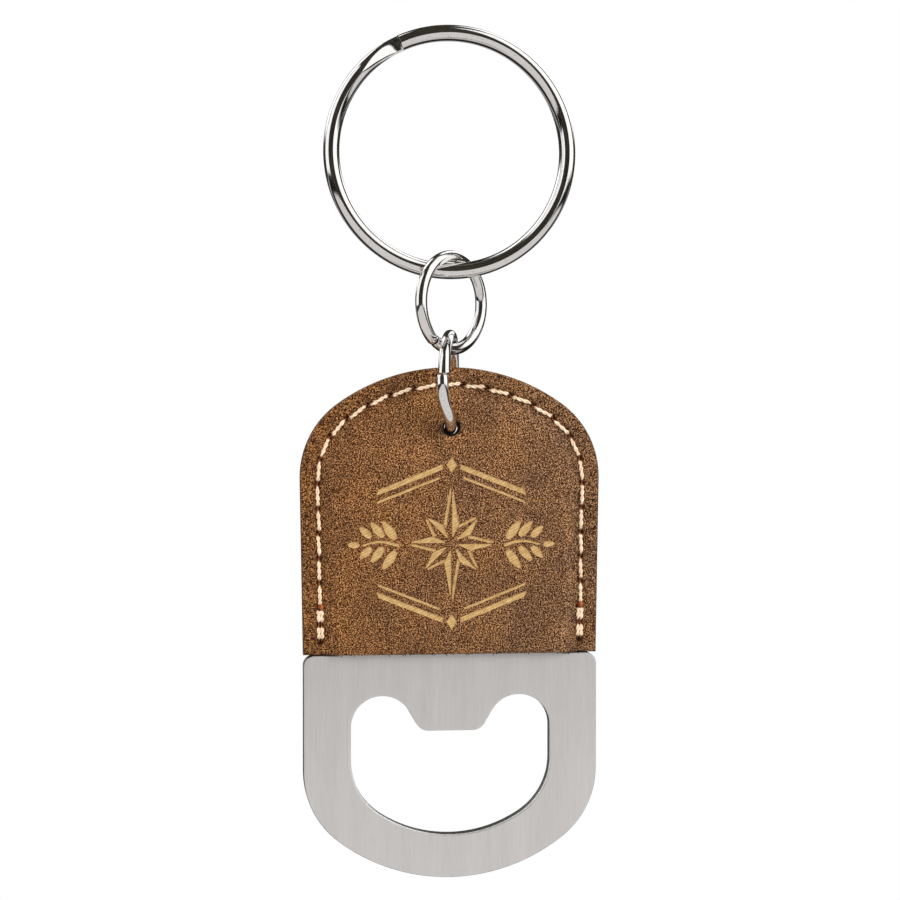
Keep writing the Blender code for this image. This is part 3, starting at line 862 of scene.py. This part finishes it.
class Relief:
    """How far each point of a cover's two faces stands from the middle plane."""

    def __init__(self, side, motif):
        self.outline = sleeve_path(0.0)
        self.motif = motif or []
        wave = random.Random(11 if side < 0 else 12)
        rates, ways, phases, weights = (0.25, 0.9), (0, 2 * math.pi), (0, 2 * math.pi), (0.3, 1.0)
        self.waves = [
            [wave.uniform(*limits) for limits in (rates, ways, phases, weights)] for _ in range(WAVES)
        ]

    @staticmethod
    def panel_rise(inset):
        """How far the tang lifts the leatherette, from the distance to the sewn outline."""
        return (PANEL_FACE_Y - RIM_FACE_Y) * smooth((inset - 2.35) / 1.95)

    def inner(self, points):
        return MIDDLE_GAP + self.panel_rise(distance_to_path(points, self.outline))

    def outer(self, points):
        """The panel over the tang, with waves, seam, rounded edge, needle dimples, hole and engraving."""
        x, z = points.T
        inset = distance_to_path(points, self.outline)
        height = RIM_FACE_Y + self.panel_rise(inset)
        height = height + WAVE_HEIGHT * sum(
            weight * np.sin(rate * (x * math.cos(way) + z * math.sin(way)) + phase)
            for rate, way, phase, weight in self.waves
        )
        height = height - SEAM_DEPTH * np.exp(-(((inset - SEAM_INSET) / 0.42) ** 2))
        edge = distance_to_path(points, self.outline, closed=True)
        into = np.clip(EDGE_ROUNDING - edge, 0.0, EDGE_ROUNDING)
        height = height - (EDGE_ROUNDING - np.sqrt(np.maximum(EDGE_ROUNDING**2 - into**2, 0.0)))
        last = len(NEEDLES) - 1
        for index, centre in enumerate(NEEDLES):
            reach = 0.52 if min(index, last - index) <= TACK_STITCHES else 0.46
            gap = np.hypot(x - centre.x, z - centre.y)
            height = height - NEEDLE_DEPTH * np.exp(-((gap / reach) ** 2) * 2.2)
        gap = np.hypot(x, z - HOLE_HEIGHT)
        height = height - 0.34 * np.exp(-np.maximum(gap - COVER_HOLE_RADIUS, 0.0) / 0.20)
        for shape in self.motif:
            near = near_shape(points, shape, 0.1)
            if near.any():
                depth = smooth(distance_to_path(points[near], shape, closed=True) / 0.04)
                height[near] -= ENGRAVING_DEPTH * depth * inside_polygon(points[near], shape)
        return height


def near_shape(points, shape, margin):
    """Which points lie in the box round a shape, widened by a margin."""
    low = np.min(shape, axis=0) - margin
    high = np.max(shape, axis=0) + margin
    return np.all((points > low) & (points < high), axis=1)


def sheet_points(relief, pitch):
    """Points and fixed edges for one cover: its outline, holes, dimples and, on the front, the motif."""
    points = []
    edges = []

    def add_loop(loop, fixed=False):
        start = len(points)
        points.extend(loop)
        if fixed:
            edges.extend((start + i, start + (i + 1) % len(loop)) for i in range(len(loop)))

    outline = resampled(relief.outline, pitch)
    add_loop(outline, fixed=True)
    add_loop(circle(0.0, HOLE_HEIGHT, COVER_HOLE_RADIUS, 44), fixed=True)
    for extra in (0.05, 0.11, 0.18, 0.27, 0.39, 0.54, 0.72):
        add_loop(circle(0.0, HOLE_HEIGHT, COVER_HOLE_RADIUS + extra, 44, extra * 7))
    for inset in (0.035, 0.08, 0.14, 0.22, 0.38):
        add_loop(inset_loop(outline, inset))
    for centre in NEEDLES:
        points.append(tuple(centre))
        for step, radius in enumerate((0.08, 0.17, 0.27, 0.38, 0.50, 0.66)):
            add_loop(circle(centre.x, centre.y, radius, 14, step * 0.2))
    for shape in relief.motif:
        loop = resampled(shape, pitch * 1.5)
        add_loop(loop, fixed=True)
        add_loop(inset_loop(loop, 0.045))
    low = np.min(points, axis=0)
    high = np.max(points, axis=0)
    grid = []
    row = 0
    z = low[1] + pitch
    while z < high[1]:
        x = low[0] + (pitch / 2 if row % 2 else 0.0)
        while x < high[0]:
            grid.append((x, z))
            x += pitch
        z += pitch * 0.866
        row += 1
    grid = np.array(grid)
    keep = inside_polygon(grid, outline) & (distance_to_path(grid, outline, closed=True) > 0.52)
    keep &= np.hypot(grid[:, 0], grid[:, 1] - HOLE_HEIGHT) > COVER_HOLE_RADIUS + 0.85
    for centre in NEEDLES:
        keep &= np.hypot(grid[:, 0] - centre.x, grid[:, 1] - centre.y) > 0.78
    for shape in relief.motif:
        near = near_shape(grid, shape, 0.2)
        if near.any():
            keep[near] &= distance_to_path(grid[near], shape, closed=True) > 0.12
    points += [tuple(p) for p in grid[keep]]
    return points, edges, outline


def cover(name, node, side, motif, surfaces):
    """One leatherette cover: outer face, engraving, backing and cut edges as one closed mesh."""
    relief = Relief(side, motif)
    points, edges, outline = sheet_points(relief, 0.34)
    flat, _, triangles, *_ = delaunay_2d_cdt([Vector(p) for p in points], edges, [], 0, 1e-6)
    flat = np.array([tuple(p) for p in flat])
    triangles = np.array([tuple(t) for t in triangles])
    centres = flat[triangles].mean(axis=1)
    keep = inside_polygon(centres, outline)
    keep &= np.hypot(centres[:, 0], centres[:, 1] - HOLE_HEIGHT) > COVER_HOLE_RADIUS * 0.995
    used, triangles = np.unique(triangles[keep], return_inverse=True)
    triangles = triangles.reshape(-1, 3)
    flat = flat[used]
    count = len(flat)
    verts = [
        (x, side * y, BOTTOM_Z + z)
        for face in (relief.outer(flat), relief.inner(flat)) for (x, z), y in zip(flat, face)
    ]
    faces = [tuple(t) for t in triangles]
    faces += [tuple(v + count for v in reversed(t)) for t in triangles]
    seen = {}
    for a, b, c in triangles:
        for edge in ((a, b), (b, c), (c, a)):
            seen[frozenset(edge)] = None if frozenset(edge) in seen else edge
    walls = [edge for edge in seen.values() if edge is not None]
    faces += [(b, a, a + count, b + count) for a, b in walls]
    outer_slots = np.zeros(len(triangles), int)
    for shape in relief.motif:
        outer_slots[inside_polygon(flat[triangles].mean(axis=1), shape)] = ENGRAVED_SLOT
    indices = list(outer_slots) + [CUT_EDGE_SLOT] * (len(triangles) + len(walls))
    piece = add_piece(name, verts, faces, "opener_body", [node], 48, surfaces, indices)


# ---- thread

def stitch(soup, first, second, side, lane, wobble, lift=0.0):
    """One stitch of two-ply thread between two needle holes, diving into both."""
    count, plies, ply_pitch, dive = 30, 2, 1.5, 0.42
    length = (second - first).length
    way = (second - first) / length
    across = Vector((-way.y, way.x))
    start = first + across * (lane - wobble)
    end = second + across * (lane + wobble)
    sideways = Vector((across.x, 0.0, across.y))
    outward = Vector((0.0, side, 0.0))
    phase = random.uniform(0, 2 * math.pi)
    for ply in range(plies):
        path = []
        radii = []
        for step in range(count + 1):
            t = step / count
            spot = start.lerp(end, t)
            away = min(t, 1 - t) * length
            y = RIM_FACE_Y - dive + (dive + 0.06 + lift) * smooth((away - 0.10) / 0.52)
            turn = phase + 2 * math.pi * (ply / plies + t * length / ply_pitch)
            pinch = 0.35 + 0.65 * smooth(away / 0.65)
            offset = sideways * math.cos(turn) * 1.12 + outward * math.sin(turn) * 0.85
            path.append(Vector((spot.x, side * y, BOTTOM_Z + spot.y)) + offset * 0.105 * pinch)
            radii.append(0.118 * (0.62 + 0.38 * smooth(away / 0.6)))
        soup.tube(path, radii, [sideways] * len(path), 7)


def thread(name, node, side, surface):
    """All stitches on one face: single ones along the seam, and double ones in the back-tacks."""
    soup = Soup()
    last = len(NEEDLES) - 1
    for index in range(last):
        first, second = NEEDLES[index], NEEDLES[index + 1]
        if index < TACK_STITCHES or index >= last - TACK_STITCHES:
            stitch(soup, first, second, side, 0.19, random.uniform(-0.06, 0.06))
            stitch(soup, first, second, side, -0.19, random.uniform(-0.06, 0.06), 0.03)
        else:
            level = abs((second - first).normalized().x)
            slant = (0.05 + 0.10 * level) * (1 if side < 0 else -0.7)
            lane = random.uniform(-0.05, 0.05)
            wobble = slant + random.uniform(-0.05, 0.05)
            stitch(soup, first, second, side, lane, wobble, random.uniform(-0.03, 0.03))
    add_piece(name, soup.verts, soup.faces, "opener_body", [node], 60, [surface])


def beads(surface):
    """Melted thread ends: a small lump at the inner end of each back-tack."""
    rows, steps = 9, 14
    soup = Soup()
    left_end = len(NEEDLES) - 1 - TACK_STITCHES
    for side in (-1, 1):
        for index, shift in ((TACK_STITCHES, 0.1), (left_end, 0.12)):
            x, height = NEEDLES[index]
            middle = Vector((x + shift, side * (RIM_FACE_Y + 0.02), BOTTOM_Z + height + 0.1))
            stations = []
            for row in range(1, rows):
                angle = math.pi * row / rows
                ring = []
                for turn in (2 * math.pi * step / steps for step in range(steps)):
                    lump = 1 + 0.16 * math.sin(3 * turn + row)
                    lump += 0.12 * math.sin(2 * turn + 1.7 * row + index)
                    spread = math.sin(angle) * lump
                    ring.append(middle + Vector((
                        0.36 * math.cos(turn) * spread,
                        -side * 0.24 * math.cos(angle),
                        0.30 * math.sin(turn) * spread,
                    )))
                stations.append(ring)
            soup.sweep(stations)
    add_piece("melted_thread_beads", soup.verts, soup.faces, "opener_body", (), 70, [surface])


def edge_fibres(surface):
    """Short loose fibres along the covers' cut lower edges."""
    fibres_per_cover = 26
    soup = Soup()
    for side in (-1, 1):
        for _ in range(fibres_per_cover):
            x = random.uniform(-15.5, 15.5)
            y = side * random.uniform(1.15, 1.72)
            root = Vector((x, y, BOTTOM_Z + COVER_LOWER_HEIGHT + 0.06))
            lean = random.uniform(-0.22, 0.22)
            length = random.uniform(0.10, 0.34)
            tip = root + Vector((lean, side * 0.03, -length))
            bend = (root + tip) / 2 + Vector((random.uniform(-0.06, 0.06), 0.0, -0.03))
            soup.tube([root, bend, tip], [0.05, 0.042, 0.012], [Vector((1, 0, 0))] * 3, 5)
    add_piece("cut_edge_fibres", soup.verts, soup.faces, "opener_body", (), 60, [surface])


def hole_shade_sleeve(surface):
    """A near-black sleeve in the punched hole, painted shade that closes in round the wire and leaves it room
    as the opener tilts.
    """
    turns, layers, outer_radius = 48, 9, 1.12
    wire_slant, wire_bend = 0.112, 0.037
    hole_z = BOTTOM_Z + HOLE_HEIGHT
    wire_drop = hole_z - (LOWER_LINK_Z - LINK_RADIUS)
    stations = []
    for step in range(turns):
        angle = 2 * math.pi * step / turns
        ragged = 0.004 * math.sin(5 * angle + 1.0) + 0.003 * math.sin(13 * angle)
        section = []
        for layer in range(layers):
            y = (2 * layer / (layers - 1) - 1) * HOLE_SHADE_HALF_LENGTH
            wire_x = LOWER_LINK_SHIFT + wire_slant * y + wire_bend * y * y
            wire_z = y * y / (2 * LINK_RADIUS) - wire_drop
            clearance = 0.045 + 0.58 * math.hypot(wire_x, wire_z)
            section.append((LINK_WIRE_RADIUS + clearance + ragged, y, wire_x, wire_z))
        section += [(outer_radius, y, 0.0, 0.0) for y in (HOLE_SHADE_HALF_LENGTH, -HOLE_SHADE_HALF_LENGTH)]
        stations.append([
            Vector((x + radius * math.cos(angle), y, hole_z + z + radius * math.sin(angle)))
            for radius, y, x, z in section
        ])
    soup = Soup()
    soup.sweep(stations, closed=True)
    add_piece("hole_painted_shade_sleeve", soup.verts, soup.faces, "opener_body", (), 60, [surface])


# ---- stage

class LightPattern(Shading):
    """The room's or the floor's light: plain white to the camera, and a pattern to everything else."""

    def __init__(self, tree):
        super().__init__(tree)
        tree.nodes.clear()

    def step(self, value, low, high):
        return self.remap(value, low, high, kind="SMOOTHSTEP")

    def window(self, value, low, high, soft):
        """1 between low and high, 0 outside, with soft sides."""
        rising = self.step(value, low - soft, low + soft)
        return self.math("MULTIPLY", rising, self.step(value, high + soft, high - soft))

    def sky_window(self, turn, turns, rise, rises, turn_soft=3.0):
        """A soft-edged window in the room, from its azimuth and elevation limits in degrees."""
        across = self.window(turn, *map(math.radians, (*turns, turn_soft)))
        return self.math("MULTIPLY", across, self.window(rise, *map(math.radians, (*rises, RISE_SOFT))))

    def finish(self, kind, lit, target):
        seen = self.node("ShaderNodeLightPath").outputs["Is Camera Ray"]
        plain = self.node(kind, {"Color": (1.0, 1.0, 1.0, 1.0), "Strength": 1.0}).outputs[0]
        pattern = self.node(kind, {"Color": lit, "Strength": 1.0}).outputs[0]
        self.node(target, {0: self.node("ShaderNodeMixShader", {0: seen, 1: pattern, 2: plain}).outputs[0]})


ROOM_DARK = (0.010, 0.0095, 0.008)
ROOM_CLUTTER = (0.11, 0.10, 0.075)
RISE_SOFT = 4.0


def floor_surface():
    """A bright table top in front of a darker floor."""
    surface = bpy.data.materials.new("pale_floor")
    surface.use_nodes = True
    made = LightPattern(surface.node_tree)
    across, depth, _ = made.xyz(made.node("ShaderNodeTexCoord").outputs["Object"])
    table = made.math("MULTIPLY", made.window(across, -0.40, 0.40, 0.05), made.step(depth, 0.10, 0.02))
    rear = made.step(depth, 0.20, 0.45)
    lit = made.mix(table, ROOM_DARK, (0.72, 0.695, 0.685))
    lit = made.mix(rear, lit, (0.30, 0.29, 0.29))
    made.finish("ShaderNodeEmission", lit, "ShaderNodeOutputMaterial")
    return surface


def floor():
    """A plain pale floor under the hanging object."""
    mesh = bpy.data.meshes.new("studio_floor")
    bm = bmesh.new()
    bmesh.ops.create_circle(bm, cap_ends=True, segments=64, radius=1.2)
    bm.to_mesh(mesh)
    bm.free()
    mesh.materials.append(floor_surface())
    made = bpy.data.objects.new("studio_floor", mesh)
    made.location = (0.0, 0.0, -0.135)
    bpy.context.collection.objects.link(made)


def room():
    """A pale room with soft windows of light to the right, to the left and behind."""
    world = bpy.data.worlds.new("pale_room")
    bpy.context.scene.world = world
    world.use_nodes = True
    made = LightPattern(world.node_tree)
    across, depth, height = made.xyz(made.node("ShaderNodeTexCoord").outputs["Generated"])
    turn = made.math("ARCTAN2", across, made.math("MULTIPLY", depth, -1.0))
    rise = made.math("ARCSINE", height)
    clutter = made.noise(16.0, 6.0, 0.75)
    lit = made.mix(made.step(clutter, 0.42, 0.68), ROOM_DARK, ROOM_CLUTTER)
    lit = made.mix(made.sky_window(turn, (21, 92), rise, (-3, 68)), lit, (1.25, 1.24, 1.23))
    lit = made.mix(made.sky_window(turn, (-112, -58), rise, (-6, 56)), lit, (1.15, 1.15, 1.16))
    away = made.math("ABSOLUTE", turn)
    lit = made.mix(made.sky_window(away, (122, 160), rise, (12, 66), 4.0), lit, (1.6, 1.6, 1.6))
    made.finish("ShaderNodeBackground", lit, "ShaderNodeOutputWorld")


def lights():
    """Soft boxes in front and behind, which the bright wires don't mirror."""
    aim = Vector((0.0, 0.0, -0.06))
    for name, place, width, height, power in (
        ("front_right_softbox", (0.40, -0.36, 0.28), 0.24, 0.30, 2.9),
        ("front_left_softbox", (-0.46, -0.40, 0.12), 0.24, 0.30, 1.9),
        ("rear_right_softbox", (0.42, 0.46, 0.16), 0.22, 0.40, 4.5),
        ("rear_left_softbox", (-0.46, 0.42, 0.10), 0.20, 0.40, 3.5),
    ):
        data = bpy.data.lights.new(name, "AREA")
        data.shape = "RECTANGLE"
        data.size = width
        data.size_y = height
        data.energy = power
        light = bpy.data.objects.new(name, data)
        light.location = place
        light.rotation_euler = (aim - Vector(place)).to_track_quat("-Z", "Y").to_euler()
        light.visible_camera = False
        light.visible_glossy = False
        bpy.context.collection.objects.link(light)


def camera():
    """The viewpoint: a little left of and above the opener's own axis."""
    data = bpy.data.cameras.new("view")
    data.sensor_width = 36.0
    data.lens = 88.7
    data.clip_start = 0.01
    made = bpy.data.objects.new("view", data)
    target = Vector((-0.114, -1.0, -48.296)) * MM
    azimuth, elevation, distance = math.radians(-6.8), math.radians(1.2), 0.262
    level = math.cos(elevation)
    way = Vector((math.sin(azimuth) * level, -math.cos(azimuth) * level, math.sin(elevation)))
    made.location = target + way * distance
    made.rotation_euler = (-way).to_track_quat("-Z", "Y").to_euler()
    bpy.context.collection.objects.link(made)
    bpy.context.scene.camera = made


def main():
    floor()
    room()
    lights()
    camera()
    split_ring(nickel_material("split_ring_nickel_plate", 0.10))
    links = nickel_material("jump_ring_nickel_plate", 0.05)
    jump_ring("upper_jump_ring", "middle_link", "middle_link_body", (MIDDLE_LINK_SHIFT, 0.0, MIDDLE_LINK_Z),
              MIDDLE_LINK_TURN, MIDDLE_LINK_JOINT_ANGLE, links, 0.08)
    jump_ring("lower_jump_ring", "lower_link", "lower_link_body", (LOWER_LINK_SHIFT, 0.0, LOWER_LINK_Z),
              LOWER_LINK_TURN, LOWER_LINK_JOINT_ANGLE, links, -0.09, 2.2, 9.0)
    opener_plate(brushed_material(), sheared_edge_shade_material())
    edge = cut_edge_material()
    front = leather_material("front_leatherette_print", (1.0, 1.0, 1.0))
    rear = leather_material("rear_leatherette_print", (0.97, 0.97, 0.98))
    cover("front_cover_leatherette", "front_leather_cover", -1, motif_shapes(),
          [front, edge, engraving_material()])
    cover("rear_cover_leatherette", "rear_leather_cover", 1, None, [rear, edge])
    yarn = thread_material()
    thread("needle_thread_stitches", "needle_thread", -1, yarn)
    thread("bobbin_thread_stitches", "bobbin_thread", 1, yarn)
    beads(bead_material())
    edge_fibres(edge)
    hole_shade_sleeve(hole_shade_material())


main()
bpy.context.scene.view_settings.view_transform = "Standard"
